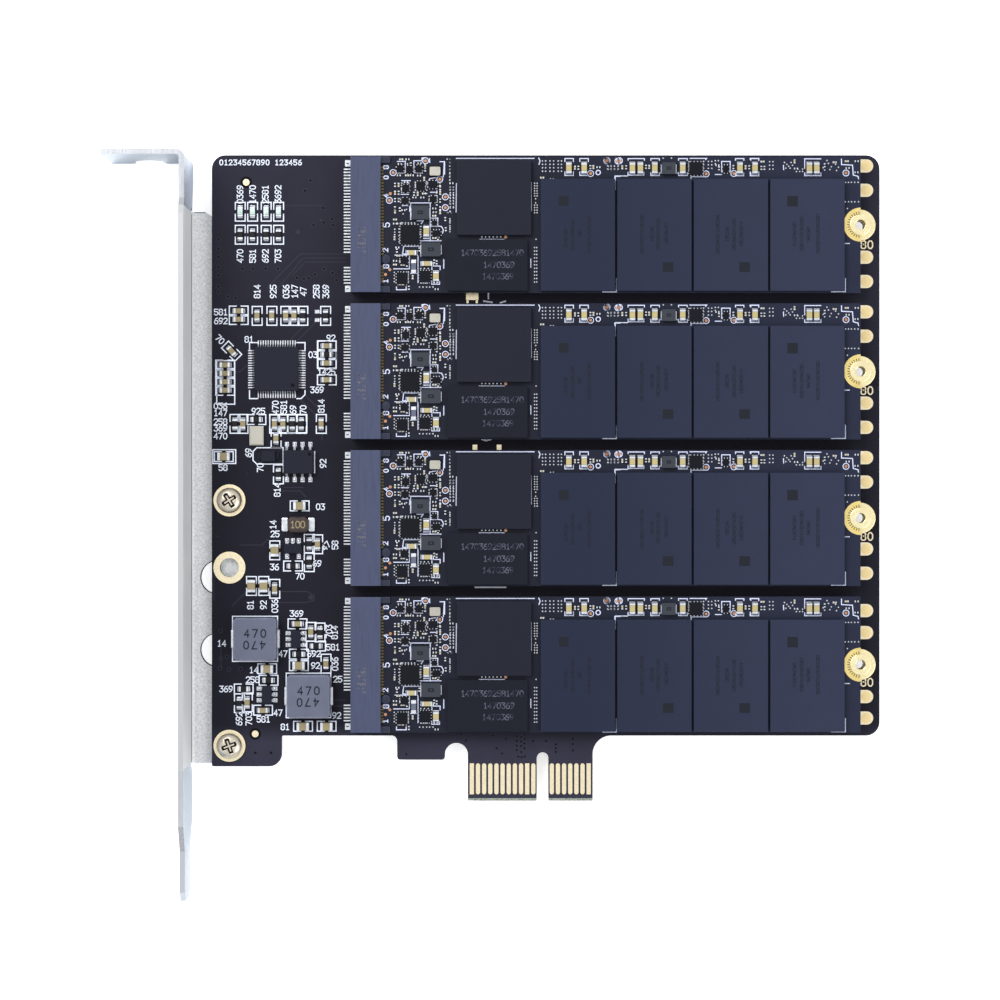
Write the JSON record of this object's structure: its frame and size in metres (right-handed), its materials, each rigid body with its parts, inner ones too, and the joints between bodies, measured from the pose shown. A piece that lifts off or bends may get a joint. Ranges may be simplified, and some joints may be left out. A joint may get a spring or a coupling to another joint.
{
  "type": "solid-state drive adapter card",
  "caption": "Full-height expansion card with a folded slot bracket that carries flat solid-state drives in keyed edge sockets, each held at its end by a threaded brass standoff.",
  "frame": {"origin": "on the mating edge of the edge connector, at the centre line of its key notch, on the component side of the board", "axes": "+X along the card away from the slot bracket, +Y into the card away from the mating edge, +Z out of the component side"},
  "size_m": [0.1253, 0.1202, 0.0184],
  "materials": {
    "board": "satin solder mask over glass-fibre laminate",
    "bracket_steel": "plated sheet steel, satin",
    "nickel": "nickel-plated steel, satin",
    "gold": "gold plating over copper",
    "brass": "turned brass, bright",
    "socket_plastic": "moulded, matt slate blue",
    "solder_tin": "tin-plated, satin",
    "drive_board": "satin solder mask over laminate",
    "chip_black": "moulded epoxy, matt",
    "flash_grey": "moulded epoxy, satin",
    "inductor_grey": "pressed iron powder, matt",
    "inductor_brown": "ferrite, matt",
    "capacitor_tan": "ceramic, matt",
    "resistor_black": "glazed ceramic",
    "lens_white": "clear epoxy, milky",
    "crystal_metal": "pressed metal lid"
  },
  "bodies": {
    "root": {"bracket_screws": "nickel", "bridge_chip": "chip_black", "bridge_chip_leads": "solder_tin", "capacitors": "capacitor_tan", "chip_terminals": "solder_tin", "circuit_board": "board", "crystal": "crystal_metal", "diode": "chip_black", "edge_contacts_component_side": "gold", "edge_contacts_solder_side": "gold", "flash_chip": "chip_black", "flash_chip_leads": "solder_tin", "ground_rings": "gold", "indicator_leds": "lens_white", "inductor_terminals": "solder_tin", "m2_socket_1": "socket_plastic", "m2_socket_2": "socket_plastic", "m2_socket_3": "socket_plastic", "m2_socket_4": "socket_plastic", "power_inductors": "inductor_grey", "regulator_leads": "solder_tin", "regulators": "chip_black", "resistors": "resistor_black", "retainer_pads": "gold", "slot_bracket": "bracket_steel", "socket_contacts_1": "solder_tin", "socket_contacts_2": "solder_tin", "socket_contacts_3": "solder_tin", "socket_contacts_4": "solder_tin", "ssd_board_1": "drive_board", "ssd_board_2": "drive_board", "ssd_board_3": "drive_board", "ssd_board_4": "drive_board", "ssd_controller_1": "chip_black", "ssd_controller_2": "chip_black", "ssd_controller_3": "chip_black", "ssd_controller_4": "chip_black", "ssd_flash_1": "flash_grey", "ssd_flash_2": "flash_grey", "ssd_flash_3": "flash_grey", "ssd_flash_4": "flash_grey", "ssd_memory_buffer_1": "chip_black", "ssd_memory_buffer_2": "chip_black", "ssd_memory_buffer_3": "chip_black", "ssd_memory_buffer_4": "chip_black", "ssd_passives_1": "capacitor_tan", "ssd_passives_2": "capacitor_tan", "ssd_passives_3": "capacitor_tan", "ssd_passives_4": "capacitor_tan", "ssd_plating_1": "gold", "ssd_plating_2": "gold", "ssd_plating_3": "gold", "ssd_plating_4": "gold", "standoff_1": "brass", "standoff_2": "brass", "standoff_3": "brass", "standoff_4": "brass", "wound_inductor": "inductor_brown"}
  },
  "joints": []
}
